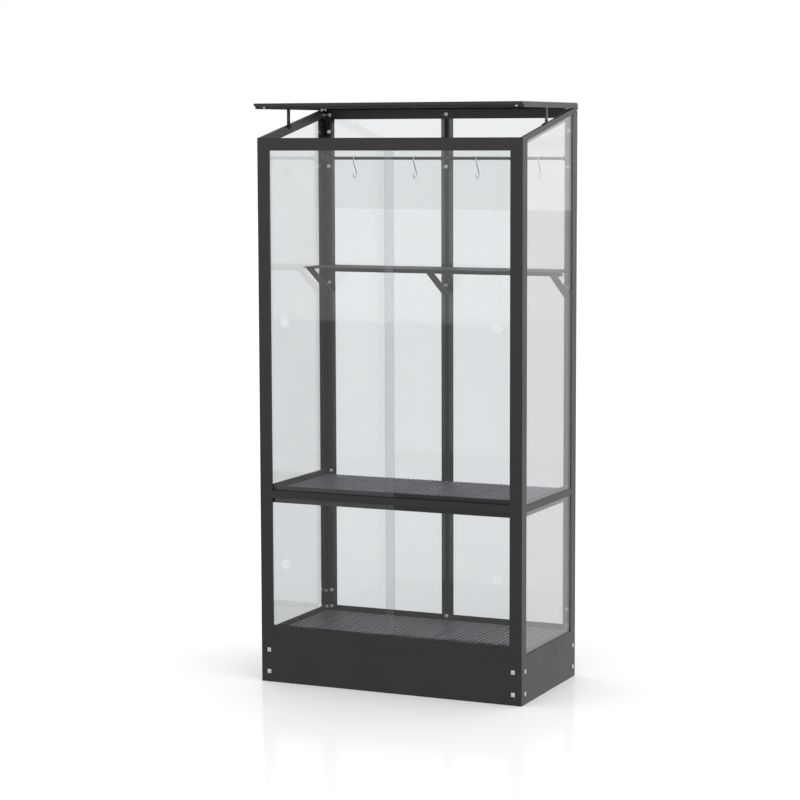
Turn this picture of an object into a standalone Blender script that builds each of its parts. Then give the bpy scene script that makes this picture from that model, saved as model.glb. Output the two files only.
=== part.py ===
"""A tall balcony cold frame: glazed cabinet, two pairs of sliding doors, and a lid propped open on stays.

Metres, +Z up, the doors face -Y. The origin is under the middle of the plinth.
"""

import math

import bpy

# Overall size
WIDTH = 0.820
FRONT_Y = -0.21175
BACK_Y = 0.22125
FRONT_TOP = 1.590
PLINTH_TOP = 0.130
GAP = 0.0003

HALF = WIDTH / 2
SHEET = 0.002

# Sloping sides
SLOPE = 0.205
SLOPE_FRONT_Z = 1.5894

# Posts
FRONT_FLANGE = 0.037
SIDE_FLANGE = 0.035
BACK_FLANGE = 0.038
POST_BOTTOM = PLINTH_TOP + GAP
REAR_POST_TOP = 1.650

# Door tracks, as depths behind the front face
OUTER_TRACK = (0.008, 0.012)
INNER_TRACK = (0.015, 0.019)
DOOR_OUTER_X = 0.390
DOOR_OVERLAP = 0.015
LOWER_DOOR_Z = (0.150, 0.5555)
UPPER_DOOR_Z = (0.5603, 1.5605)
TRACK_END_X = 0.397
RAIL_END_X = HALF - FRONT_FLANGE - 0.0006

# Panes, as depths behind the outer faces
PANE = (0.0027, 0.0057)
PANE_EDGE = 0.0305

# Lid
HINGE_Y = 0.21675
HINGE_Z = 1.673
BEAD_R = 0.0035
LID_HALF = 0.414
LID_FRONT_Y = -0.22425
LID_TOP = 1.6885
LID_SEAT = 1.6772
LID_SKIRT = 1.6725
LID_NOSE = 1.6805
LID_EAR_Y = 0.2125
LID_BAR = 0.028
LID_REAR_BAR_Y = 0.190

# Stays
STAY_X = 0.4056
STAY_Y = -0.02225
STAY_PIVOT_Z = 1.681
STAY_PIN_R = 0.0015

# Rod and hooks
ROD_Y = 0.19275
ROD_Z = 1.5285
ROD_R = 0.00465
HOOK_X = (-0.291, -0.093, 0.109, 0.304)
HOOK_WIRE_R = 0.0015
HOOK_LOOP_R = 0.0115
HOOK_BOTTOM = 1.4700

# Shelves
SHELF_TOP = 0.563
TRAY_TOP = 0.140
NARROW_SHELF_TOP = 1.206
NARROW_SHELF_FRONT = 0.0660
BRACKET_X = 0.387

DARK = (0.040, 0.040, 0.042, 1.0)
ZINC = (0.60, 0.61, 0.63, 1.0)
STEEL = (0.72, 0.73, 0.75, 1.0)
GLASS = (0.90, 0.95, 0.95, 1.0)
SLATE = (0.150, 0.145, 0.160, 1.0)
CLEAR = (0.85, 0.88, 0.88, 1.0)


def clear_scene():
    for obj in list(bpy.data.objects):
        bpy.data.objects.remove(obj, do_unlink=True)


def principled(name, colour, metallic, roughness, transmission=0.0):
    material = bpy.data.materials.new(name)
    material.use_nodes = True
    shader = material.node_tree.nodes["Principled BSDF"]
    shader.inputs["Base Color"].default_value = colour
    shader.inputs["Metallic"].default_value = metallic
    shader.inputs["Roughness"].default_value = roughness
    shader.inputs["Transmission Weight"].default_value = transmission
    material.diffuse_color = colour
    return material


def dark_paint(name):
    return principled(name, DARK, 0.0, 0.45)


def clear_glass(name):
    return principled(name, GLASS, 0.0, 0.02, 1.0)


def solid(name, points, faces):
    """One closed mesh object, its faces turned outwards."""
    mesh = bpy.data.meshes.new(name)
    mesh.from_pydata(points, [], faces)
    volume = 0.0
    for face in mesh.polygons:
        corners = [mesh.vertices[i].co for i in face.vertices]
        for second, third in zip(corners[1:-1], corners[2:]):
            volume += corners[0].dot(second.cross(third))
    if volume < 0:
        mesh.flip_normals()
    mesh.update()
    obj = bpy.data.objects.new(name, mesh)
    bpy.context.scene.collection.objects.link(obj)
    return obj


def prism(name, outline, place, start, end):
    """Extrude a closed outline of (p, q) points. place turns (p, q, s) into a world point.

    start and end are each a number, or a function of p and q for a slanted end.
    """
    count = len(outline)
    points = []
    for limit in (start, end):
        for p, q in outline:
            s = limit(p, q) if callable(limit) else limit
            points.append(place(p, q, s))
    faces = [list(range(count))[::-1], list(range(count, 2 * count))]
    for i in range(count):
        j = (i + 1) % count
        faces.append([i, j, count + j, count + i])
    return solid(name, points, faces)


def box(name, x, y, z):
    outline = [(x[0], y[0]), (x[1], y[0]), (x[1], y[1]), (x[0], y[1])]
    return prism(name, outline, lambda p, q, s: (p, q, s), z[0], z[1])


def boolean(target, tool, operation):
    """Join tool to target, or cut it away, and drop the tool."""
    modifier = target.modifiers.new("boolean", "BOOLEAN")
    modifier.operation = operation
    modifier.solver = "EXACT"
    modifier.object = tool
    graph = bpy.context.evaluated_depsgraph_get()
    mesh = bpy.data.meshes.new_from_object(target.evaluated_get(graph))
    target.modifiers.remove(modifier)
    target.data = mesh
    bpy.data.objects.remove(tool, do_unlink=True)
    return target


def cut_box(target, x, y, z):
    x, y, z = sorted(x), sorted(y), sorted(z)
    return boolean(target, box("cutter", x, y, z), "DIFFERENCE")


def finish(obj, material, origin=None, smooth=False):
    obj.data.materials.clear()
    obj.data.materials.append(material)
    if origin is not None:
        for vertex in obj.data.vertices:
            vertex.co = [c - o for c, o in zip(vertex.co, origin)]
        obj.location = origin
    if smooth:
        obj.data.shade_smooth()
        obj.data.set_sharp_from_angle(angle=math.radians(35))
    return obj


def circle(r, count, centre=(0.0, 0.0), turn=0.0):
    return [
        (
            centre[0] + r * math.cos(turn + 2 * math.pi * i / count),
            centre[1] + r * math.sin(turn + 2 * math.pi * i / count),
        )
        for i in range(count)
    ]


def arc(centre, r, first, last, count):
    """Points on an arc from first to last degrees, both ends included."""
    points = []
    for i in range(count + 1):
        a = math.radians(first + (last - first) * i / count)
        points.append((centre[0] + r * math.cos(a), centre[1] + r * math.sin(a)))
    return points


def rod_along_x(name, r, y, z, x, count=24):
    return prism(name, circle(r, count, (y, z)), lambda p, q, s: (s, p, q), x[0], x[1])


def rail_top(y):
    """Height of the sloping side rail's top at depth y."""
    return SLOPE_FRONT_Z + SLOPE * (y - FRONT_Y)


def front_rail(name, outline):
    """A rail between the front posts. Its front wall stops at the flanges, and its tracks run on."""
    obj = prism(
        name,
        [(FRONT_Y + d, z) for d, z in outline],
        lambda p, q, s: (s, p, q),
        -TRACK_END_X,
        TRACK_END_X,
    )
    heights = [z for _, z in outline]
    z = (min(heights) - 0.01, max(heights) + 0.01)
    for side in (-1, 1):
        cut_box(obj, (side * RAIL_END_X, side * 0.42), (FRONT_Y - 0.01, FRONT_Y + 0.0082), z)
    return finish(obj, dark_paint(name + "_paint"))


# Plinth


def plinth_panel(name, place, half_length, bolts, cutter_place):
    """A C-shaped folded panel with mitred ends and a hole for each bolt."""
    fold = 0.020
    t = SHEET
    top = PLINTH_TOP
    outline = [
        (0, 0),
        (fold, 0),
        (fold, t),
        (t, t),
        (t, top - t),
        (fold, top - t),
        (fold, top),
        (0, top),
    ]
    mitre = 0.00022
    obj = prism(
        name,
        outline,
        place,
        lambda p, q: -(half_length - p - mitre),
        lambda p, q: half_length - p - mitre,
    )
    for along in bolts:
        for z in (0.031, 0.095):
            hole = prism("cutter", circle(0.0033, 16, (along, z)), cutter_place, -0.005, 0.010)
            boolean(obj, hole, "DIFFERENCE")
    return finish(obj, dark_paint(name + "_paint"))


def bolt(name, place):
    """A square-headed bolt with its nut. place turns (p, q, depth) into a world point."""

    def ring(kind, size):
        points = []
        for i in range(12):
            a = math.radians(45 + 30 * i)
            r = size
            if kind == "square":
                r = size / max(abs(math.cos(a)), abs(math.sin(a)))
            if kind == "hexagon":
                turned = (math.degrees(a) - 45) % 60 - 30
                r = size / math.cos(math.radians(turned))
            points.append((r * math.cos(a), r * math.sin(a)))
        return points

    steps = [
        (-0.0030, "square", 0.0049),
        (-0.0024, "square", 0.00575),
        (-GAP, "square", 0.00575),
        (-GAP, "circle", 0.0030),
        (0.0044, "circle", 0.0030),
        (0.0044, "hexagon", 0.0050),
        (0.0094, "hexagon", 0.0050),
        (0.0094, "circle", 0.0029),
        (0.0125, "circle", 0.0029),
    ]
    points = []
    for depth, kind, size in steps:
        points.extend(place(p, q, depth) for p, q in ring(kind, size))
    faces = [list(range(12))[::-1], [12 * (len(steps) - 1) + i for i in range(12)]]
    for row in range(len(steps) - 1):
        for i in range(12):
            j = (i + 1) % 12
            low, high = 12 * row, 12 * row + 12
            faces.append([low + i, low + j, high + j, high + i])
    return solid(name, points, faces)


def plinth_corner(name, side, face_y, inward):
    """The bracket inside a corner of the plinth, with the four bolts that it carries."""
    leg, t, off = 0.040, 0.0025, SHEET + GAP
    outline = [
        (off, off),
        (leg, off),
        (leg, off + t),
        (off + t, off + t),
        (off + t, leg),
        (off, leg),
    ]
    obj = prism(
        name,
        outline,
        lambda p, q, s: (side * (HALF - p), face_y + inward * q, s),
        0.010,
        0.120,
    )
    front_x = side * 0.3847
    side_y = face_y + inward * 0.0235
    for z in (0.031, 0.095):
        across = bolt("bolt", lambda p, q, d: (front_x + p, face_y + inward * d, z + q))
        boolean(obj, across, "UNION")
        along = bolt("bolt", lambda p, q, d: (side * (HALF - d), side_y + p, z + q))
        boolean(obj, along, "UNION")
    return finish(obj, principled(name + "_zinc", ZINC, 1.0, 0.35))


def build_plinth():
    mid_y = (FRONT_Y + BACK_Y) / 2
    half_depth = (BACK_Y - FRONT_Y) / 2
    front_bolts = (-0.3847, 0.3847)
    side_bolts = (FRONT_Y + 0.0235 - mid_y, BACK_Y - 0.0235 - mid_y)
    plinth_panel(
        "plinth_front",
        lambda p, q, s: (s, FRONT_Y + p, q),
        HALF,
        front_bolts,
        lambda p, q, s: (p, FRONT_Y + s, q),
    )
    plinth_panel(
        "plinth_rear",
        lambda p, q, s: (s, BACK_Y - p, q),
        HALF,
        front_bolts,
        lambda p, q, s: (p, BACK_Y - s, q),
    )
    for side, word in ((-1, "left"), (1, "right")):
        plinth_panel(
            "plinth_" + word,
            lambda p, q, s: (side * (HALF - p), mid_y + s, q),
            half_depth,
            side_bolts,
            lambda p, q, s: (side * (HALF - s), mid_y + p, q),
        )
        plinth_corner("plinth_corner_front_" + word, side, FRONT_Y, 1)
        plinth_corner("plinth_corner_rear_" + word, side, BACK_Y, -1)


# Posts


def channel(base, tip, low, high):
    """Part of a post's outline: a bolt channel on a flange, from low to high along the flange."""
    lip = 0.0013
    slot = (low + high) / 2
    return [
        (low, base),
        (low, tip),
        (slot - 0.003, tip),
        (slot - 0.003, tip - lip),
        (low + lip, tip - lip),
        (low + lip, base),
        (high - lip, base),
        (high - lip, tip - lip),
        (slot + 0.003, tip - lip),
        (slot + 0.003, tip),
        (high, tip),
        (high, base),
    ]


def build_posts():
    t = SHEET
    side_run = channel(t, 0.0065, 0.016, 0.030)
    for side, word in ((-1, "left"), (1, "right")):
        outline = [(0, 0), (FRONT_FLANGE, 0), (FRONT_FLANGE, 0.0077), (FRONT_FLANGE - t, 0.0077)]
        outline += [(FRONT_FLANGE - t, t), (t, t)]
        outline += [(depth, along) for along, depth in side_run]
        outline += [(t, SIDE_FLANGE), (0, SIDE_FLANGE)]
        name = "post_front_" + word
        obj = prism(
            name,
            outline,
            lambda p, q, s: (side * (HALF - p), FRONT_Y + q, s),
            POST_BOTTOM,
            FRONT_TOP,
        )
        near, far = FRONT_Y + 0.00215, FRONT_Y + 0.045
        wedge = [
            (near, rail_top(near) - 0.0155),
            (far, rail_top(far) - 0.0155),
            (far, 1.65),
            (near, 1.65),
        ]
        tool = prism("cutter", wedge, lambda p, q, s: (s, p, q), side * 0.400, side * 0.415)
        boolean(obj, tool, "DIFFERENCE")
        finish(obj, dark_paint(name + "_paint"))

        outline = [(0, 0), (BACK_FLANGE, 0), (BACK_FLANGE, t)]
        outline += [(along, depth) for along, depth in reversed(side_run)]
        outline += [(t, t)]
        outline += [(depth, along) for along, depth in side_run]
        outline += [(t, SIDE_FLANGE), (0, SIDE_FLANGE)]
        name = "post_rear_" + word
        obj = prism(
            name,
            outline,
            lambda p, q, s: (side * (HALF - p), BACK_Y - q, s),
            POST_BOTTOM,
            REAR_POST_TOP + 0.018,
        )
        near, far = BACK_Y - 0.045, BACK_Y - 0.0091
        above = [
            (near, rail_top(near) - 0.0155),
            (far, rail_top(far) - 0.0155),
            (far, REAR_POST_TOP),
            (BACK_Y + 0.01, REAR_POST_TOP),
            (BACK_Y + 0.01, 1.70),
            (near, 1.70),
        ]
        tool = prism("cutter", above, lambda p, q, s: (s, p, q), side * 0.360, side * 0.415)
        boolean(obj, tool, "DIFFERENCE")
        finish(obj, dark_paint(name + "_paint"))

    outline = [(-0.019, 0), (0.019, 0), (0.019, t)]
    outline += reversed(channel(t, 0.0065, -0.007, 0.007))
    outline += [(-0.019, t)]
    obj = prism(
        "post_rear_middle",
        outline,
        lambda p, q, s: (p, BACK_Y - q, s),
        0.1393,
        REAR_POST_TOP,
    )
    finish(obj, dark_paint("post_rear_middle_paint"))


# Rails


def build_front_rails():
    front_rail(
        "sill_front",
        [
            (0, 0.1303),
            (0.002, 0.1303),
            (0.002, 0.1477),
            (0.0195, 0.1477),
            (0.0195, 0.1303),
            (0.0215, 0.1303),
            (0.0215, 0.160),
            (0.0195, 0.160),
            (0.0195, 0.1497),
            (0.0145, 0.1497),
            (0.0145, 0.1675),
            (0.0125, 0.1675),
            (0.0125, 0.1497),
            (0.002, 0.1497),
            (0.002, 0.1675),
            (0, 0.1675),
        ],
    )
    front_rail(
        "rail_front_middle",
        [
            (0, 0.5475),
            (0.002, 0.5475),
            (0.002, 0.5575),
            (0.0125, 0.5575),
            (0.0125, 0.5315),
            (0.0145, 0.5315),
            (0.0145, 0.5575),
            (0.0195, 0.5575),
            (0.0195, 0.5315),
            (0.0215, 0.5315),
            (0.0215, 0.568),
            (0.0195, 0.568),
            (0.0195, 0.560),
            (0.0145, 0.560),
            (0.0145, 0.582),
            (0.0125, 0.582),
            (0.0125, 0.560),
            (0.002, 0.560),
            (0.002, 0.568),
            (0, 0.568),
        ],
    )
    front_rail(
        "rail_front_top",
        [
            (0, 1.5538),
            (0.002, 1.5538),
            (0.002, 1.588),
            (0.0125, 1.588),
            (0.0125, 1.5538),
            (0.0145, 1.5538),
            (0.0145, 1.588),
            (0.0195, 1.588),
            (0.0195, 1.5538),
            (0.0215, 1.5538),
            (0.0215, 1.590),
            (0, 1.590),
        ],
    )


def bottom_outline():
    base = PLINTH_TOP + GAP
    web = base + 0.003
    return [
        (0, base),
        (0.030, base),
        (0.030, web),
        (0.0088, web),
        (0.0088, 0.153),
        (0.0068, 0.153),
        (0.0068, web),
        (0.002, web),
        (0.002, 0.139),
        (0, 0.139),
    ]


def side_rail(name, side, outline):
    """A rail along one side. Its outer wall stops at the posts' flanges, and its inner leg runs past."""
    front, rear = FRONT_Y + 0.022, BACK_Y - 0.0091
    obj = prism(name, outline, lambda p, q, s: (side * (HALF - p), s, q), front, rear)
    heights = [z for _, z in outline]
    z = (min(heights) - 0.01, max(heights) + 0.01)
    x = (side * (HALF - 0.00665), side * (HALF + 0.01))
    flange = SIDE_FLANGE + GAP
    cut_box(obj, x, (FRONT_Y, FRONT_Y + flange), z)
    cut_box(obj, x, (BACK_Y - flange, BACK_Y), z)
    return finish(obj, dark_paint(name + "_paint"))


def slope_rail(name, side):
    """The sloping rail: a deep groove on top for the stay, and the pane's groove below its web."""
    outline = [
        (0.410, 0),
        (0.410, -0.0152),
        (0.408, -0.0152),
        (0.408, -0.014),
        (0.4032, -0.014),
        (0.4032, -0.0265),
        (0.4012, -0.0265),
        (0.4012, 0),
        (0.4032, 0),
        (0.4032, -0.012),
        (0.408, -0.012),
        (0.408, 0),
    ]
    obj = prism(
        name,
        outline,
        lambda p, q, s: (side * p, s, rail_top(s) + q),
        FRONT_Y + 0.0023,
        BACK_Y - 0.0115,
    )
    return finish(obj, dark_paint(name + "_paint"))


def rear_bottom_rail():
    name = "rail_rear_bottom"
    end = 0.4009
    obj = prism(name, bottom_outline(), lambda p, q, s: (s, BACK_Y - p, q), -end, end)
    flange = HALF - BACK_FLANGE - GAP
    for side in (-1, 1):
        y = (BACK_Y - 0.00665, BACK_Y + 0.01)
        cut_box(obj, (side * flange, side * 0.42), y, (0.12, 0.16))
        y = (BACK_Y - 0.031, BACK_Y - 0.0090)
        cut_box(obj, (side * 0.3797, side * 0.42), y, (0.12, 0.1345))
    return finish(obj, dark_paint(name + "_paint"))


def rear_top_rail():
    """The rear top rail. The lid's rear bar turns on the round bead along its top."""
    name = "rail_rear_top"
    low, web, web_top = 1.6505, 1.6630, 1.6650
    bead = (0.0045, HINGE_Z)
    neck_out = bead[1] - math.sqrt(BEAD_R**2 - 0.001**2)
    neck_in = bead[1] - math.sqrt(BEAD_R**2 - 0.003**2)
    first = math.degrees(math.atan2(neck_in - bead[1], 0.003))
    last = math.degrees(math.atan2(neck_out - bead[1], 0.001))
    outline = [
        (0, low),
        (0.002, low),
        (0.002, web),
        (0.0068, web),
        (0.0068, 1.645),
        (0.0088, 1.645),
        (0.0088, web_top),
        (0.0075, web_top),
    ]
    outline += arc(bead, BEAD_R, first, 360 + last, 20)
    outline += [(0.0055, web_top), (0, web_top)]
    obj = prism(name, outline, lambda p, q, s: (s, BACK_Y - p, q), -HALF + GAP, HALF - GAP)
    for side in (-1, 1):
        cut_box(obj, (side * 0.4009, side * 0.42), (BACK_Y - 0.02, BACK_Y + 0.01), (1.60, 1.6503))
    return finish(obj, dark_paint(name + "_paint"))


def build_rails():
    build_front_rails()
    middle = [
        (0, 0.546),
        (0.002, 0.546),
        (0.002, 0.5545),
        (0.0068, 0.5545),
        (0.0068, 0.532),
        (0.0088, 0.532),
        (0.0088, 0.5545),
        (0.025, 0.5545),
        (0.025, 0.5565),
        (0.0088, 0.5565),
        (0.0088, 0.578),
        (0.0068, 0.578),
        (0.0068, 0.5565),
        (0.002, 0.5565),
        (0.002, 0.565),
        (0, 0.565),
    ]
    for side, word in ((-1, "left"), (1, "right")):
        side_rail("rail_middle_" + word, side, middle)
        side_rail("rail_bottom_" + word, side, bottom_outline())
        slope_rail("rail_slope_" + word, side)
    rear_bottom_rail()
    rear_top_rail()


# Glass


def build_panes():
    near, far = FRONT_Y + PANE_EDGE, BACK_Y - PANE_EDGE
    bottom = PLINTH_TOP + 2 * GAP + 0.003
    for side, word in ((-1, "left"), (1, "right")):
        x = (side * (HALF - PANE[1]), side * (HALF - PANE[0]))
        name = "pane_lower_" + word
        obj = box(name, sorted(x), (near, far), (bottom, 0.5542))
        finish(obj, clear_glass(name + "_glass"))
        name = "pane_upper_" + word
        low = 0.5568
        outline = [
            (near, low),
            (far, low),
            (far, rail_top(far) - 0.0143),
            (near, rail_top(near) - 0.0143),
        ]
        obj = prism(name, outline, lambda p, q, s: (s, p, q), x[0], x[1])
        finish(obj, clear_glass(name + "_glass"))
        name = "pane_rear_" + word
        x = sorted((side * 0.0075, side * (HALF - PANE_EDGE)))
        obj = box(name, x, (BACK_Y - PANE[1], BACK_Y - PANE[0]), (bottom, 1.6625))
        finish(obj, clear_glass(name + "_glass"))


def finger_disc(name, x, z, door_front):
    """A round finger grip: a shallow cup that stands on the door's outer face."""
    outline = [
        (0.0150, 0.0),
        (0.0150, 0.0014),
        (0.0140, 0.0020),
        (0.0120, 0.0020),
        (0.0105, 0.0008),
        (0.0030, 0.0008),
        (0.0022, 0.0014),
    ]
    count = 32
    points = []
    for r, height in outline:
        y = door_front - GAP - height
        for p, q in circle(r, count, (x, z)):
            points.append((p, y, q))
    faces = [list(range(count)), [count * (len(outline) - 1) + i for i in range(count)][::-1]]
    for row in range(len(outline) - 1):
        for i in range(count):
            j = (i + 1) % count
            low, high = count * row, count * row + count
            faces.append([low + j, low + i, high + i, high + j])
    obj = solid(name, points, faces)
    return finish(obj, principled(name + "_clear", CLEAR, 0.0, 0.25, 0.6), (x, door_front, z), True)


def build_doors():
    for side, word, track in ((-1, "left", OUTER_TRACK), (1, "right", INNER_TRACK)):
        x = sorted((side * DOOR_OUTER_X, -side * DOOR_OVERLAP))
        y = (FRONT_Y + track[0], FRONT_Y + track[1])
        for level, z, disc_z in (("lower", LOWER_DOOR_Z, 0.353), ("upper", UPPER_DOOR_Z, 1.061)):
            name = f"door_{level}_{word}"
            middle = (sum(x) / 2, sum(y) / 2, sum(z) / 2)
            finish(box(name, x, y, z), clear_glass(name + "_glass"), middle)
            finger_disc(f"disc_{level}_{word}", side * 0.3305, disc_z, y[0])


# Lid


def lid_outline(skirt):
    """Section of a lid bar: an outer skirt, and two plates that hold the pane between them."""
    return [
        (0, LID_SKIRT),
        (skirt, LID_SKIRT),
        (skirt, LID_SEAT),
        (LID_BAR, LID_SEAT),
        (LID_BAR, LID_SEAT + 0.0025),
        (skirt, LID_SEAT + 0.0025),
        (skirt, LID_TOP - 0.0025),
        (LID_BAR, LID_TOP - 0.0025),
        (LID_BAR, LID_TOP),
        (0.0010, LID_TOP),
        (0, LID_TOP - 0.0010),
    ]


def lid_front_outline():
    """Section of the lid's front bar: a nose on top, and a wall set back under it."""
    wall = LID_BAR - 0.0025
    return [
        (0.0010, LID_TOP),
        (0, LID_TOP - 0.0010),
        (0, LID_NOSE),
        (0.0100, LID_NOSE),
        (0.0115, LID_NOSE - 0.0015),
        (wall, LID_NOSE - 0.0015),
        (wall, LID_SKIRT),
        (LID_BAR, LID_SKIRT),
        (LID_BAR, LID_NOSE + 0.0003),
        (0.0150, LID_NOSE + 0.0003),
        (0.0150, LID_TOP - 0.0025),
        (LID_BAR, LID_TOP - 0.0025),
        (LID_BAR, LID_TOP),
    ]


def lid_side_bar(name, side, mitre):
    """A side bar. Its skirt runs on past the rear bar to a rounded corner."""
    end = LID_EAR_Y
    obj = prism(
        name,
        lid_outline(0.003),
        lambda p, q, s: (side * (LID_HALF - p), s, q),
        lambda p, q: LID_FRONT_Y + p + mitre,
        end,
    )
    inner = (side * 0.300, side * (LID_HALF - 0.0029))
    cut_box(obj, inner, (LID_REAR_BAR_Y - GAP, end + 0.01), (1.60, 1.70))
    cut_box(obj, (side * 0.300, side * 0.420), (LID_FRONT_Y - 0.01, LID_FRONT_Y + 0.010), (1.60, LID_NOSE))
    r = 0.008
    corner = [(end + 0.01, LID_TOP - r), (end + 0.01, LID_TOP + 0.01), (end - r, LID_TOP + 0.01)]
    corner += arc((end - r, LID_TOP - r), r, 90, 0, 8)
    tool = prism("cutter", corner, lambda p, q, s: (s, p, q), side * 0.400, side * 0.420)
    boolean(obj, tool, "DIFFERENCE")
    cut_box(
        obj,
        (side * 0.4030, side * 0.4082),
        (STAY_Y - 0.066, STAY_Y + 0.012),
        (LID_SEAT - 0.004, LID_SEAT + 0.004),
    )
    return obj


def build_lid():
    hinge = (0.0, HINGE_Y, HINGE_Z)
    mitre = 0.00022
    obj = prism(
        "lid_front_bar",
        lid_front_outline(),
        lambda p, q, s: (s, LID_FRONT_Y + p, q),
        lambda p, q: -(LID_HALF - p - mitre),
        lambda p, q: LID_HALF - p - mitre,
    )
    finish(obj, dark_paint("lid_front_bar_paint"), hinge)
    for side, word in ((-1, "left"), (1, "right")):
        name = "lid_side_bar_" + word
        obj = lid_side_bar(name, side, mitre)
        pin = rod_along_x(
            "pin", STAY_PIN_R, STAY_Y, STAY_PIVOT_Z, sorted((side * 0.4026, side * 0.4118)), 16
        )
        boolean(obj, pin, "UNION")
        finish(obj, dark_paint(name + "_paint"), hinge)
    build_lid_rear_bar(hinge)
    pane = box("lid_pane", (-0.396, 0.396), (LID_FRONT_Y + 0.018, 0.208), (1.6812, 1.6852))
    finish(pane, clear_glass("lid_pane_glass"), hinge)


def build_lid_rear_bar(hinge):
    """The rear bar. Its rounded back edge curls down into a hook round the rear rail's bead."""
    axis = (HINGE_Y, HINGE_Z)
    outer = 0.0055
    corner = 0.0100
    back = HINGE_Y + outer
    outline = [(LID_REAR_BAR_Y, LID_TOP)]
    outline += arc((back - corner, LID_TOP - corner), corner, 90, 0, 8)
    outline += arc(axis, outer, 0, -60, 8)
    outline += arc(axis, BEAD_R + 0.0003, -60, 90, 14)
    outline += [
        (HINGE_Y - 0.0015, LID_SEAT),
        (LID_REAR_BAR_Y, LID_SEAT),
        (LID_REAR_BAR_Y, LID_SEAT + 0.0025),
        (0.2090, LID_SEAT + 0.0025),
        (0.2090, LID_TOP - 0.0025),
        (LID_REAR_BAR_Y, LID_TOP - 0.0025),
    ]
    obj = prism(
        "lid_rear_bar",
        outline,
        lambda p, q, s: (s, p, q),
        -(LID_HALF - 0.0033),
        LID_HALF - 0.0033,
    )
    finish(obj, dark_paint("lid_rear_bar_paint"), hinge, True)


def build_stays():
    """Each stay hangs from a pin in the lid, and its shoe sits in the slope rail's groove."""
    for side, word in ((-1, "left"), (1, "right")):
        name = "stay_" + word
        pivot = (side * STAY_X, STAY_Y, STAY_PIVOT_Z)
        x = sorted((side * (STAY_X - 0.0018), side * (STAY_X + 0.0018)))
        rear = STAY_Y + 0.0095
        outline = arc((STAY_Y, STAY_PIVOT_Z), 0.0045, 45, 180, 10)
        outline += [
            (STAY_Y - 0.0045, 1.627),
            (STAY_Y - 0.0030, 1.6255),
            (STAY_Y + 0.0045, 1.6255),
            (STAY_Y + 0.0075, 1.6282),
            (rear, 1.6325),
            (rear, 1.6745),
        ]
        obj = prism(name, outline, lambda p, q, s: (s, p, q), x[0], x[1])
        hole = rod_along_x(
            "cutter", STAY_PIN_R + 0.0003, STAY_Y, STAY_PIVOT_Z, sorted((side * 0.39, side * 0.42)), 16
        )
        boolean(obj, hole, "DIFFERENCE")
        finish(obj, dark_paint(name + "_paint"), pivot)


# Rod and hooks


def build_rod():
    obj = rod_along_x("rod", ROD_R, ROD_Y, ROD_Z, (-0.400, 0.400), 24)
    finish(obj, dark_paint("rod_paint"), smooth=True)
    plate_back = BACK_Y - 0.0068
    plate_front = plate_back - 0.0025
    for x, word in ((-BRACKET_X, "left"), (0.0, "middle"), (BRACKET_X, "right")):
        name = "rod_bracket_" + word
        outline = [
            (plate_back, 1.490),
            (plate_back, 1.542),
            (plate_front, 1.542),
            (plate_front, 1.5335),
        ]
        outline += arc((ROD_Y, ROD_Z), 0.0078, 40, 320, 20)
        outline += [(plate_front, 1.5235), (plate_front, 1.490)]
        obj = prism(name, outline, lambda p, q, s: (s, p, q), x - 0.006, x + 0.006)
        hole = rod_along_x("cutter", ROD_R + GAP, ROD_Y, ROD_Z, (x - 0.02, x + 0.02), 24)
        boolean(obj, hole, "DIFFERENCE")
        finish(obj, dark_paint(name + "_paint"))


def hook_path():
    """The centre line of an S-hook in (y, z), from its rear tip over the rod to its front tip."""
    upper = (ROD_Y, ROD_Z + ROD_R + GAP + HOOK_WIRE_R - HOOK_LOOP_R)
    lower = (ROD_Y, HOOK_BOTTOM + HOOK_LOOP_R)
    spread = upper[1] - lower[1]
    lean = math.degrees(math.asin(2 * HOOK_LOOP_R / spread))
    path = arc(upper, HOOK_LOOP_R, -10, 180 + lean, 18)
    path += arc(lower, HOOK_LOOP_R, lean, -190, 18)
    return path


def build_hooks():
    path = hook_path()
    sides = 8
    for number, x in enumerate(HOOK_X, 1):
        points = []
        for i, (y, z) in enumerate(path):
            before = path[max(i - 1, 0)]
            after = path[min(i + 1, len(path) - 1)]
            run = math.hypot(after[0] - before[0], after[1] - before[1])
            normal = (-(after[1] - before[1]) / run, (after[0] - before[0]) / run)
            for k in range(sides):
                a = 2 * math.pi * (k + 0.5) / sides
                out = HOOK_WIRE_R * math.cos(a)
                points.append(
                    (x + HOOK_WIRE_R * math.sin(a), y + out * normal[0], z + out * normal[1])
                )
        last = sides * (len(path) - 1)
        faces = [list(range(sides))[::-1], [last + k for k in range(sides)]]
        for i in range(len(path) - 1):
            for k in range(sides):
                j = (k + 1) % sides
                low, high = sides * i, sides * i + sides
                faces.append([low + k, low + j, high + j, high + k])
        name = f"hook_{number}"
        obj = solid(name, points, faces)
        finish(obj, principled(name + "_steel", STEEL, 1.0, 0.2), (x, ROD_Y, ROD_Z), True)


# Shelves


def ribs_outline(half, rib_half, plate, top):
    """Section of a ribbed plate: ribs 10 mm wide stand every 15.8 mm on a flat plate."""
    pitch, rib = 0.0158, 0.0100
    count = int(2 * rib_half / pitch)
    first = -(count - 1) * pitch / 2
    outline = [(-half, plate[0]), (half, plate[0]), (half, plate[1])]
    for i in reversed(range(count)):
        centre = first + i * pitch
        outline += [
            (centre + rib / 2, plate[1]),
            (centre + rib / 2 - 0.0005, top),
            (centre - rib / 2 + 0.0005, top),
            (centre - rib / 2, plate[1]),
        ]
    outline += [(-half, plate[1])]
    return outline


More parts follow.
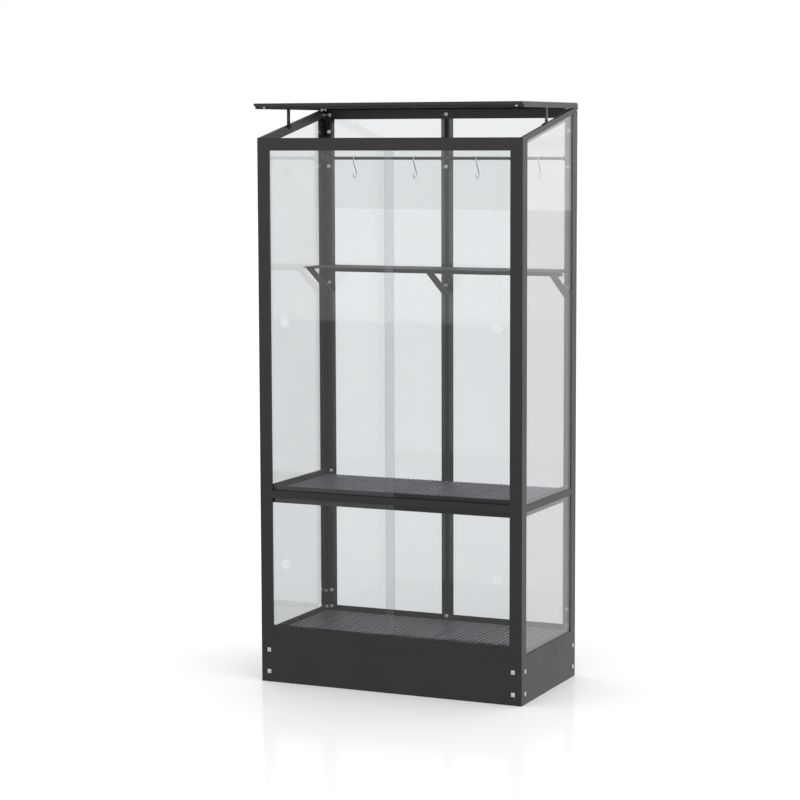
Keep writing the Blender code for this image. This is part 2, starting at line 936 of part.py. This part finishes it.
def build_shelves():
    front = FRONT_Y + 0.022
    obj = prism(
        "shelf_middle",
        ribs_outline(0.3995, 0.395, (0.5568, 0.5583), SHELF_TOP),
        lambda p, q, s: (p, s, q),
        front,
        0.19975,
    )
    finish(obj, principled("shelf_middle_slate", SLATE, 0.0, 0.5))
    obj = prism(
        "tray_bottom",
        ribs_outline(0.3985, 0.395, (0.1336, 0.1352), TRAY_TOP),
        lambda p, q, s: (p, s, q),
        front,
        0.20975,
    )
    cut_box(obj, (-0.41, 0.41), (0.19275, 0.23), (0.1354, 0.15))
    finish(obj, principled("tray_bottom_slate", SLATE, 0.0, 0.5))


def build_narrow_shelf():
    top, t = NARROW_SHELF_TOP, 0.0035
    front, rear = NARROW_SHELF_FRONT, 0.20975
    outline = [
        (front, top - t),
        (rear - 0.002, top - t),
        (rear - 0.002, 1.185),
        (rear, 1.185),
        (rear, top),
        (front, top),
    ]
    obj = prism("shelf_narrow", outline, lambda p, q, s: (s, p, q), -0.402, 0.402)
    z = (1.17, top - t)
    y = (rear - 0.004, rear + 0.004)
    for x in ((-0.42, -0.370), (-0.0115, 0.0115), (0.370, 0.42)):
        cut_box(obj, x, y, z)
    finish(obj, dark_paint("shelf_narrow_paint"))

    back = BACK_Y - 0.0068
    under = top - t - GAP
    thick = 0.003
    outline = [
        (back, 1.122),
        (back, under),
        (0.0785, under),
        (0.0785, under - 0.0035),
        (back - 0.0045, 1.122),
    ]
    lean = (under - 0.0035 - 1.122) / (back - 0.0045 - 0.0785)
    hole = [
        (back - thick, 1.122 + lean * 0.0045 + 0.0035),
        (back - thick, under - thick),
        (0.0785 + 0.0060, under - thick),
    ]
    for x, word in ((-BRACKET_X, "left"), (0.0, "middle"), (BRACKET_X, "right")):
        name = "shelf_bracket_" + word
        obj = prism(name, outline, lambda p, q, s: (s, p, q), x - 0.011, x + 0.011)
        tool = prism("cutter", hole, lambda p, q, s: (s, p, q), x - 0.02, x + 0.02)
        boolean(obj, tool, "DIFFERENCE")
        finish(obj, dark_paint(name + "_paint"))


clear_scene()
build_plinth()
build_posts()
build_rails()
build_panes()
build_doors()
build_lid()
build_stays()
build_rod()
build_hooks()
build_shelves()
build_narrow_shelf()
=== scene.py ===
"""The looks of the cold frame: its materials and small fittings, with the floor, light and camera."""

import math

import bmesh
import bpy
from mathutils import Matrix, Vector


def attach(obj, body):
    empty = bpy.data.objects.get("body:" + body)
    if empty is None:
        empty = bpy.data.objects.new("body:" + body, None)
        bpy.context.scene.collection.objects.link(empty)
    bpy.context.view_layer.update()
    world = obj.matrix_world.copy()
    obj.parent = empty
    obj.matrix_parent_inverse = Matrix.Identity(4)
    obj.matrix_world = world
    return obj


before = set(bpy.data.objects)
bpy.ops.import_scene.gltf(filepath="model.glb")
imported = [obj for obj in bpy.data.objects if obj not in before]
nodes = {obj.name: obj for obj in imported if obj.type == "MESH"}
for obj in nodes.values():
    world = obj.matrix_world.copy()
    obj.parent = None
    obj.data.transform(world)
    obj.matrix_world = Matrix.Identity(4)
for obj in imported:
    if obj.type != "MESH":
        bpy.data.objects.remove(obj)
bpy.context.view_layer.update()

# Sizes repeated from the design, in metres
HALF = 0.410
FRONT_Y = -0.21175
BACK_Y = 0.22125
REAR_POST_X = 0.387
POST_TOP_NUT_Z = 1.6077
SHELF_NUT_Z = 0.571
ROD_PLATE_Z = 1.504
STRAP_Z = 1.152
PLINTH_NUT_Z = 0.198
BOTTOM_LEG_Z = 0.1472
TOP_LEG_Z = 1.6585
TOP_LEG_X = 0.3845
SLOPE_NUT = (0.4010, 0.204, 1.6591)
LID_FRONT_Y = -0.22425
LID_NUT_X = 0.3930
LID_UNDERSIDE_Z = 1.6770
STAY_X = 0.4056
STAY_Y = -0.02225
ROD_END = (0.4002, 0.19275, 1.5285)
RIB_PITCH = 0.0158
SHELF_PLATE_Z = 0.5583
TRAY_PLATE_Z = 0.1352

# How far the faces that carry nuts lie inside the body's outer faces
CHANNEL_DEPTH = 0.0065
LEG_DEPTH = 0.0088
PLATE_DEPTH = 0.0093
STRAP_DEPTH = 0.0098

# Gap between a new piece and the node it sits on
GAP = 0.0002

SIDES = ((-1, "left"), (1, "right"))


# Node helpers


class Nodes:
    """A material's node tree, with short calls for the nodes used here."""

    def __init__(self, name):
        self.material = bpy.data.materials.new(name)
        self.material.use_nodes = True
        self.tree = self.material.node_tree
        self.tree.nodes.clear()
        self.output = self.tree.nodes.new("ShaderNodeOutputMaterial")

    def add(self, kind, inputs=None, **settings):
        node = self.tree.nodes.new(kind)
        for key, value in settings.items():
            setattr(node, key, value)
        for key, value in (inputs or {}).items():
            self.put(node.inputs[key], value)
        return node

    def put(self, socket, value):
        if isinstance(value, bpy.types.NodeSocket):
            self.tree.links.new(value, socket)
        else:
            socket.default_value = value

    def surface(self, shader):
        self.tree.links.new(shader, self.output.inputs["Surface"])
        return self.material

    def math(self, operation, first, second=0.0, clamp=False):
        node = self.add("ShaderNodeMath", {0: first, 1: second}, operation=operation)
        node.use_clamp = clamp
        return node.outputs[0]

    def ramp(self, value, low, high, out_low=0.0, out_high=1.0):
        node = self.add("ShaderNodeMapRange", {0: value, 1: low, 2: high, 3: out_low, 4: out_high})
        return node.outputs[0]

    def spread(self, noise, out_low, out_high):
        """A noise's usual range, 0.3 to 0.7, spread from out_low to out_high."""
        return self.ramp(noise, 0.3, 0.7, out_low, out_high)

    def mix(self, factor, first, second):
        node = self.add("ShaderNodeMix", data_type="RGBA")
        self.put(node.inputs[0], factor)
        self.put(node.inputs[6], first)
        self.put(node.inputs[7], second)
        return node.outputs[2]

    def mix_shaders(self, factor, first, second):
        return self.add("ShaderNodeMixShader", {0: factor, 1: first, 2: second}).outputs[0]

    def place(self):
        return self.add("ShaderNodeTexCoord").outputs["Object"]

    def normal(self):
        """The surface's direction along the object's own axes, as outputs X, Y and Z."""
        direction = self.add("ShaderNodeTexCoord").outputs["Normal"]
        return self.add("ShaderNodeSeparateXYZ", {0: direction}).outputs

    def noise(self, scale, detail=2.0, vector=None):
        node = self.add("ShaderNodeTexNoise", {"Scale": scale, "Detail": detail})
        self.put(node.inputs["Vector"], vector or self.place())
        return node.outputs["Fac"]

    def streaks(self, place, scale):
        """Noise drawn out by a different scale along each axis."""
        stretched = self.add("ShaderNodeMapping", {"Vector": place, "Scale": scale})
        return self.noise(1.0, 3.0, stretched.outputs[0])

    def random_by(self, number):
        """A random value from 0 to 1 for each whole number."""
        return self.add("ShaderNodeTexWhiteNoise", {"W": number}, noise_dimensions="1D").outputs["Value"]

    def bump(self, height, strength, distance):
        node = self.add("ShaderNodeBump", {"Height": height, "Strength": strength, "Distance": distance})
        return node.outputs["Normal"]

    def mirror(self, power, weight, least):
        """How much the surface mirrors: least when seen face on, and more towards its outline."""
        facing = self.add("ShaderNodeLayerWeight", {"Blend": 0.5}).outputs["Facing"]
        rise = self.math("MULTIPLY", self.math("POWER", facing, power), weight)
        return self.math("ADD", rise, least, clamp=True)


def grey(value):
    return (value, value, value, 1.0)


def dimmed(colour, factor):
    return tuple(factor * c for c in colour[:3]) + (1.0,)


# Materials


def powder_coat(name, dark, light, rough, sheen):
    """Satin powder coat: a fine orange-peel bump, a slow drift in shade and gloss, and a pale sheen."""
    n = Nodes(name)
    place = n.place()
    drift = n.noise(5.0, 3.0, place)
    grain = n.noise(1400.0, 2.0, place)
    fleck = n.ramp(grain, 0.35, 0.65)
    shade = n.math("ADD", n.math("MULTIPLY", drift, 0.65), n.math("MULTIPLY", fleck, 0.35))
    shader = n.add(
        "ShaderNodeBsdfPrincipled",
        {
            "Base Color": n.mix(shade, dark, light),
            "Roughness": n.spread(drift, rough - 0.05, rough + 0.06),
            "Specular IOR Level": 0.5,
            "Sheen Weight": sheen,
            "Sheen Roughness": 0.45,
            "Normal": n.bump(grain, 0.12, 0.0003),
        },
    )
    return n.surface(shader.outputs[0])


def metal(name, colour, rough, brushed):
    """Plated or drawn steel, with fine streaks along Z when brushed."""
    n = Nodes(name)
    place = n.place()
    streak = n.streaks(place, (900.0, 900.0, 30.0 if brushed else 900.0))
    cloud = n.noise(60.0, 2.0, place)
    shader = n.add(
        "ShaderNodeBsdfPrincipled",
        {
            "Base Color": n.mix(n.spread(cloud, 0.0, 1.0), colour, dimmed(colour, 0.84)),
            "Metallic": 1.0,
            "Roughness": n.spread(streak, rough - 0.06, rough + 0.08),
            "Normal": n.bump(streak, 0.10, 0.0002),
        },
    )
    return n.surface(shader.outputs[0])


def pane_glass(name, tint, edge, face_axis):
    """Clear float glass. Each face mirrors by its angle and tints a little, and the cut edges look bluer.

    face_axis is the axis that the pane's two broad faces look along.
    """
    n = Nodes(name)
    mirror = n.mirror(3.5, 0.96, 0.048)
    rim = n.math("LESS_THAN", n.math("ABSOLUTE", n.normal()[face_axis]), 0.5)
    haze = n.spread(n.noise(2.5, 2.0), 0.0, 0.30)
    body = n.mix(haze, tint, dimmed(tint, 0.985))
    clear = n.add("ShaderNodeBsdfTransparent", {"Color": n.mix(rim, body, edge)})
    shine = n.add("ShaderNodeBsdfGlossy", {"Color": grey(1.0), "Roughness": 0.015})
    return n.surface(n.mix_shaders(mirror, clear.outputs[0], shine.outputs[0]))


def clear_plastic(name):
    """Milky clear plastic, for the finger discs: the milkiness is painted as a glow, an emission mixed in
    by a noise.
    """
    n = Nodes(name)
    mirror = n.mirror(5.0, 0.9, 0.05)
    milky_glow = n.spread(n.noise(90.0, 2.0), 0.08, 0.15)
    clear = n.add("ShaderNodeBsdfTransparent", {"Color": grey(0.995)})
    # Painted light: a faint glow that stands in for the light the milky plastic scatters.
    body = n.add("ShaderNodeEmission", {"Color": (0.97, 0.98, 1.0, 1.0), "Strength": 1.1})
    shine = n.add("ShaderNodeBsdfGlossy", {"Color": grey(1.0), "Roughness": 0.12})
    soft = n.mix_shaders(milky_glow, clear.outputs[0], body.outputs[0])
    return n.surface(n.mix_shaders(mirror, soft, shine.outputs[0]))


def ribbed_board(name, board, plate_z, dark, light):
    """Ribbed boards laid side by side, each board and each rib a little different, with faint joints.

    board is a board's width, and plate_z the height of the valleys between the ribs, which get painted
    shade, as do the ribs' sides.
    """
    joint_start, joint_pale = 0.475, 0.22
    # The last two numbers set how dark the painted shade is, low in the valleys and on the ribs' sides.
    valley_low, valley_high, valley_shade_strength, flank_shade_strength = 0.0010, 0.0042, 0.26, 0.06
    n = Nodes(name)
    place = n.place()
    parts = n.add("ShaderNodeSeparateXYZ", {0: place}).outputs
    run = n.math("DIVIDE", parts["X"], board)
    from_middle = n.math("ABSOLUTE", n.math("SUBTRACT", n.math("FRACT", run), 0.5))
    joint = n.math("GREATER_THAN", from_middle, joint_start)
    board_tone = n.random_by(n.math("FLOOR", run))
    rib_tone = n.random_by(n.math("FLOOR", n.math("DIVIDE", parts["X"], RIB_PITCH)))
    grain = n.streaks(place, (500.0, 12.0, 500.0))
    shade = n.math("ADD", n.math("MULTIPLY", board_tone, 0.30), n.math("MULTIPLY", grain, 0.20))
    shade = n.math("ADD", shade, n.math("MULTIPLY", rib_tone, 0.50))
    colour = n.mix(shade, dark, light)
    colour = n.mix(n.math("MULTIPLY", joint, joint_pale), colour, (0.40, 0.395, 0.415, 1.0))
    # Painted shade: darker towards the valley floor, and on the faces that look along X, which are the
    # ribs' sides.
    painted_valley_shade = n.ramp(parts["Z"], plate_z + valley_low, plate_z + valley_high, valley_shade_strength, 0.0)
    painted_flank_shade_mask = n.math("GREATER_THAN", n.math("ABSOLUTE", n.normal()["X"]), 0.5)
    depth = n.math("MAXIMUM", painted_valley_shade, n.math("MULTIPLY", painted_flank_shade_mask, flank_shade_strength))
    shader = n.add(
        "ShaderNodeBsdfPrincipled",
        {
            # Painted shade mixes the colour towards near black.
            "Base Color": n.mix(depth, colour, (0.030, 0.030, 0.034, 1.0)),
            "Roughness": n.spread(grain, 0.40, 0.55),
            "Normal": n.bump(grain, 0.15, 0.0003),
        },
    )
    return n.surface(shader.outputs[0])


def rubber(name, dark, light):
    """Matt rubber with a fine, cloudy grain."""
    n = Nodes(name)
    cloud = n.noise(700.0, 2.0)
    shader = n.add(
        "ShaderNodeBsdfPrincipled",
        {
            "Base Color": n.mix(cloud, grey(dark), grey(light)),
            "Roughness": n.spread(cloud, 0.62, 0.78),
            "Specular IOR Level": 0.2,
            "Normal": n.bump(cloud, 0.2, 0.0002),
        },
    )
    return n.surface(shader.outputs[0])


PAINT = powder_coat("powder_coat", (0.0085, 0.0084, 0.0086, 1.0), (0.0125, 0.0124, 0.0126, 1.0), 0.36, 0.15)
MATT = powder_coat("matt_coat", (0.0130, 0.0130, 0.0136, 1.0), (0.0185, 0.0185, 0.0191, 1.0), 0.58, 0.0)
SHELF_COLOURS = ((0.066, 0.067, 0.081, 1.0), (0.149, 0.150, 0.173, 1.0))
TRAY_COLOURS = ((0.089, 0.086, 0.098, 1.0), (0.195, 0.190, 0.210, 1.0))
SLATE = {
    "shelf_middle": ribbed_board("shelf_boards", 7 * RIB_PITCH, SHELF_PLATE_Z, *SHELF_COLOURS),
    "tray_bottom": ribbed_board("tray_boards", 8 * RIB_PITCH, TRAY_PLATE_Z, *TRAY_COLOURS),
}
ZINC = metal("zinc_plate", (0.90, 0.91, 0.93, 1.0), 0.34, False)
STEEL = metal("bright_steel", (0.84, 0.85, 0.87, 1.0), 0.24, True)
TINT = (0.913, 0.922, 0.926, 1.0)
SIDE_TINT = (0.930, 0.932, 0.935, 1.0)
EDGE = (0.72, 0.78, 0.82, 1.0)
GLASS_SIDE = pane_glass("glass_side", SIDE_TINT, EDGE, "X")
GLASS_FRONT = pane_glass("glass_front", TINT, EDGE, "Y")
GLASS_LID = pane_glass("glass_lid", TINT, EDGE, "Z")
PLASTIC = clear_plastic("disc_plastic")
RUBBER = rubber("black_rubber", 0.004, 0.009)
GASKET = rubber("grey_gasket", 0.085, 0.120)

# The first row whose words a node's name starts with gives its material
LOOKS = (
    (("door_", "pane_rear"), GLASS_FRONT),
    (("pane_",), GLASS_SIDE),
    (("lid_pane",), GLASS_LID),
    (("disc_",), PLASTIC),
    (("plinth_corner",), ZINC),
    (("hook_",), STEEL),
    (("shelf_narrow", "shelf_bracket"), MATT),
)


def material_of(name):
    for starts, material in LOOKS:
        if name.startswith(starts):
            return material
    return SLATE.get(name, PAINT)


def paint_nodes():
    for name, node in nodes.items():
        material = material_of(name)
        if not node.material_slots:
            node.data.materials.append(material)
        for slot in node.material_slots:
            slot.material = material


# Shapes


def piece(name, mesh_builder, material, body, smooth=True):
    """A new piece from a function that fills a bmesh. It rides on a CAD body."""
    mesh = bpy.data.meshes.new(name)
    bm = bmesh.new()
    mesh_builder(bm)
    bmesh.ops.recalc_face_normals(bm, faces=bm.faces)
    bm.to_mesh(mesh)
    bm.free()
    mesh.materials.append(material)
    if smooth:
        mesh.shade_smooth()
        mesh.set_sharp_from_angle(angle=math.radians(32))
    obj = bpy.data.objects.new(name, mesh)
    bpy.context.scene.collection.objects.link(obj)
    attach(obj, body)
    return obj


def band(bm, low, high):
    """Faces that join two rings of as many points."""
    for i in range(len(low)):
        j = (i + 1) % len(low)
        bm.faces.new((low[i], low[j], high[j], high[i]))


def closed_ends(bm, first, last):
    bm.faces.new(list(reversed(first)))
    bm.faces.new(last)


def turned(bm, profile, count, place, corners=None):
    """Revolve (radius, height) points. place is the matrix from the local axis Z to the world.

    Where corners has a number for a point, that ring is a polygon of so many sides, not a circle.
    """
    rings = []
    for k, (radius, height) in enumerate(profile):
        sides = corners[k] if corners else 0
        ring = []
        for i in range(count):
            a = 2 * math.pi * i / count
            reach = radius
            if sides:
                step = 2 * math.pi / sides
                reach = radius / math.cos((a % step) - step / 2)
            ring.append(bm.verts.new(place @ Vector((reach * math.cos(a), reach * math.sin(a), height))))
        rings.append(ring)
    for low, high in zip(rings[:-1], rings[1:]):
        band(bm, low, high)
    closed_ends(bm, rings[0], rings[-1])


def extruded(bm, outline, span, to_world):
    """Extrude an outline of (a, b) points over a span c. to_world gives x, y and z from a, b and c."""
    low = [bm.verts.new(to_world(a, b, span[0])) for a, b in outline]
    high = [bm.verts.new(to_world(a, b, span[1])) for a, b in outline]
    band(bm, low, high)
    closed_ends(bm, low, high)


def along_z(a, b, c):
    return (a, b, c)


def along_x(a, b, c):
    return (c, a, b)


def rounded_outline(x, y, r):
    """A rectangle from x[0] to x[1] and y[0] to y[1], with its corners rounded by r."""
    centres = (
        (x[1] - r, y[1] - r),
        (x[0] + r, y[1] - r),
        (x[0] + r, y[0] + r),
        (x[1] - r, y[0] + r),
    )
    points = []
    for corner, (cx, cy) in enumerate(centres):
        for i in range(4):
            a = math.radians(90 * corner + 30 * i)
            points.append((cx + r * math.cos(a), cy + r * math.sin(a)))
    return points


def towards(direction, point, spin=0.0):
    """The matrix that stands the local Z axis along direction at point."""
    turn = Vector((0, 0, 1)).rotation_difference(Vector(direction)).to_matrix().to_4x4()
    return Matrix.Translation(point) @ turn @ Matrix.Rotation(spin, 4, "Z")


# Nuts


def nut_on(bm, point, direction, spin=0.0, tall=1.0):
    """A washer, a nut with chamfered corners and the bolt's end. tall scales its height."""
    place = towards(direction, point, spin)
    washer = [(0.0058, 0.0), (0.0060, 0.0003), (0.0060, 0.0009), (0.0055, 0.0012)]
    nut = [(0.0045, 0.0013), (0.0045, 0.0050), (0.0040, 0.0058)]
    end = [(0.0029, 0.0059), (0.0029, 0.0074), (0.0022, 0.0080)]
    for profile, count, corners in ((washer, 24, None), (nut, 24, [6, 6, 0]), (end, 16, None)):
        turned(bm, [(r, tall * h) for r, h in profile], count, place, corners)


def nut(name, body, point, direction, spin=0.0, tall=1.0):
    piece(name, lambda bm: nut_on(bm, point, direction, spin, tall), ZINC, body)


def rear_nuts():
    """The nuts that show on the rear posts' inner faces, and on the legs and plates in front of them."""
    channel, leg, plate, strap = (
        BACK_Y - depth - GAP for depth in (CHANNEL_DEPTH, LEG_DEPTH, PLATE_DEPTH, STRAP_DEPTH)
    )
    spots = []
    for x in (-REAR_POST_X, REAR_POST_X):
        spots.append((x, channel, POST_TOP_NUT_Z))
        spots.append((x, plate, ROD_PLATE_Z))
        spots.append((x, strap, STRAP_Z))
        spots.append((x, channel, PLINTH_NUT_Z))
        spots.append((x, leg, BOTTOM_LEG_Z))
    spots.append((-REAR_POST_X, channel, SHELF_NUT_Z))
    spots.append((0.0, plate, ROD_PLATE_Z))
    spots.append((0.0, strap, STRAP_Z))
    spots.append((0.0, leg, BOTTOM_LEG_Z))
    for x in (0.0, -TOP_LEG_X, TOP_LEG_X):
        spots.append((x, leg, TOP_LEG_Z))
    for number, spot in enumerate(spots, 1):
        nut(f"post_nut_{number}", "frame", spot, (0, -1, 0), 0.3 * number)


def side_nuts():
    """The nuts that show inside each side: low on its two posts, and high on its slope rail."""
    number = 0
    for side, word in SIDES:
        inward = (-side, 0, 0)
        nut("slope_nut_" + word, "frame", (side * SLOPE_NUT[0], SLOPE_NUT[1], SLOPE_NUT[2]), inward)
        channel = side * (HALF - CHANNEL_DEPTH - GAP)
        leg = side * (HALF - LEG_DEPTH - GAP)
        rear = BACK_Y - 0.0190
        spots = (
            (channel, FRONT_Y + 0.0245, PLINTH_NUT_Z),
            (leg, FRONT_Y + 0.0300, BOTTOM_LEG_Z),
            (channel, rear, PLINTH_NUT_Z),
            (leg, rear, BOTTOM_LEG_Z),
        )
        for spot in spots:
            number += 1
            nut(f"side_nut_{number}", "frame", spot, inward, 0.4 * number)


def lid_nuts():
    """A nut under each front corner of the lid, and two under each rear corner.

    The front nuts are low, because they close over the front rail.
    """
    for side, word in SIDES:
        spots = (
            ("front", (side * 0.389, LID_FRONT_Y + 0.0190, 1.6788), 0.58),
            ("rear", (side * LID_NUT_X, 0.2025, LID_UNDERSIDE_Z), 1.0),
            ("side", (side * LID_NUT_X, 0.1780, LID_UNDERSIDE_Z), 1.0),
        )
        for where, spot, tall in spots:
            nut(f"lid_nut_{where}_{word}", "lid", spot, (0, 0, -1), 0.2, tall)


# Rubber pieces


def rail_top(y):
    """The height of the slope rails' inner legs at y."""
    return 1.5894 + 0.205 * (y - FRONT_Y)


def stay_clips():
    """A black shoe round each stay's foot, and the black catch there, hooked over the rail's inner leg."""
    foot_y = (STAY_Y - 0.0047, STAY_Y + 0.0099)
    foot_z = (1.6330, 1.6372)
    rise = GAP + 0.0018
    heights = ((-0.021, GAP), (-0.019, rise), (0.004, rise), (0.006, -0.0120), (-0.008, -0.0100))
    catch = [(STAY_Y + dy, rail_top(STAY_Y + dy) + dz) for dy, dz in heights]
    for side, word in SIDES:
        foot_x = sorted((side * (STAY_X - 0.0022), side * (STAY_X + 0.0022)))
        leg_x = sorted((side * 0.3999, side * 0.4035))
        shoe = rounded_outline(foot_x, foot_y, 0.0008)
        piece(
            "stay_clip_" + word,
            lambda bm: extruded(bm, shoe, foot_z, along_z),
            RUBBER,
            word + "_stay",
        )
        piece(
            "stay_catch_" + word,
            lambda bm: extruded(bm, catch, leg_x, along_x),
            RUBBER,
            "frame",
            False,
        )


def strip(name, x, y, z, material):
    """A flat strip of rubber from x[0] to x[1], y[0] to y[1] and z[0] to z[1]."""
    outline = [(x[0], y[0]), (x[1], y[0]), (x[1], y[1]), (x[0], y[1])]
    piece(name, lambda bm: extruded(bm, outline, z, along_z), material, "frame", False)


def glazing_seals():
    """Black seals behind the rear flanges, and a grey gasket along each rear post's front edge."""
    seal_y = (BACK_Y - 0.0026, BACK_Y - 0.0021)
    gasket_y = (BACK_Y - 0.0362, BACK_Y - 0.0351)
    for side, word in SIDES:
        for where, first in (("outer", 0.3723), ("inner", 0.0160)):
            x = sorted((side * first, side * (first + 0.0029)))
            strip(f"seal_rear_{where}_{word}", x, seal_y, (0.141, 1.648), RUBBER)
        x = sorted((side * (HALF - 0.0026), side * (HALF - GAP)))
        for level, z in (("lower", (0.1395, 0.5455)), ("upper", (0.5655, 1.6535))):
            strip(f"gasket_{level}_{word}", x, gasket_y, z, GASKET)


def rod_caps():
    """A domed black cap on each end of the rod."""
    profile = [(0.0050, 0.0), (0.0052, 0.0004), (0.0050, 0.0011), (0.0038, 0.0016)]
    for side, word in SIDES:
        place = towards((side, 0, 0), (side * ROD_END[0], ROD_END[1], ROD_END[2]))
        piece("rod_cap_" + word, lambda bm: turned(bm, profile, 24, place), RUBBER, "frame")


# Stage


def floor():
    """A pale, slightly polished floor. Mirrored rays see it greyer, as in a studio lit round the object."""
    mesh = bpy.data.meshes.new("floor")
    x, near, far, below = 60.0, -12.8, 42.0, 0.0004
    mesh.from_pydata([(-x, near, 0), (x, near, 0), (x, far, 0), (-x, far, 0)], [], [(0, 1, 2, 3)])
    obj = bpy.data.objects.new("floor", mesh)
    obj.location.z = -below
    bpy.context.scene.collection.objects.link(obj)
    n = Nodes("floor_pale")
    diffuse = n.add("ShaderNodeBsdfDiffuse", {"Color": grey(0.93)})
    shine = n.add("ShaderNodeBsdfGlossy", {"Color": grey(1.0), "Roughness": 0.14})
    base = n.mix_shaders(0.12, diffuse.outputs[0], shine.outputs[0])
    along = n.add("ShaderNodeSeparateXYZ", {0: n.place()}).outputs["Y"]
    tone = n.mix(n.ramp(along, -1.0, 1.0), grey(0.50), (0.64, 0.64, 0.66, 1.0))
    dim = n.add("ShaderNodeEmission", {"Color": tone, "Strength": 1.0})
    mirrored = n.add("ShaderNodeLightPath").outputs["Is Glossy Ray"]
    mesh.materials.append(n.surface(n.mix_shaders(mirrored, base, dim.outputs[0])))


def light():
    """An even white studio, with a very soft light from above, a little to the front and the right."""
    world = bpy.data.worlds.new("studio")
    bpy.context.scene.world = world
    world.use_nodes = True
    background = world.node_tree.nodes["Background"]
    background.inputs["Color"].default_value = grey(1.0)
    background.inputs["Strength"].default_value = 1.0
    data = bpy.data.lights.new("sky", "SUN")
    data.energy = 0.85
    data.angle = math.radians(100)
    sky = bpy.data.objects.new("sky", data)
    sky.rotation_euler = Vector((-0.45, 0.35, -1.0)).to_track_quat("-Z", "Y").to_euler()
    bpy.context.scene.collection.objects.link(sky)
    bpy.context.scene.view_settings.view_transform = "Standard"
    bpy.context.scene.view_settings.look = "None"


def camera():
    """The view: from the right, a little above the middle, through a long lens."""
    place = (2.8249, -6.38485, 1.5939)
    yaw, pitch, roll = (math.radians(a) for a in (24.294, 6.261, -0.178))
    back = Vector((math.sin(yaw) * math.cos(pitch), -math.cos(yaw) * math.cos(pitch), math.sin(pitch)))
    right = Vector((math.cos(yaw), math.sin(yaw), 0))
    up = back.cross(right)
    right, up = (
        math.cos(roll) * right + math.sin(roll) * up,
        math.cos(roll) * up - math.sin(roll) * right,
    )
    data = bpy.data.cameras.new("camera")
    data.lens = 108.195
    data.sensor_width = 36.0
    obj = bpy.data.objects.new("camera", data)
    turn = Matrix((right, up, back)).transposed().to_4x4()
    obj.matrix_world = Matrix.Translation(place) @ turn
    bpy.context.scene.collection.objects.link(obj)
    bpy.context.scene.camera = obj


paint_nodes()
rear_nuts()
side_nuts()
lid_nuts()
stay_clips()
glazing_seals()
rod_caps()
floor()
light()
camera()
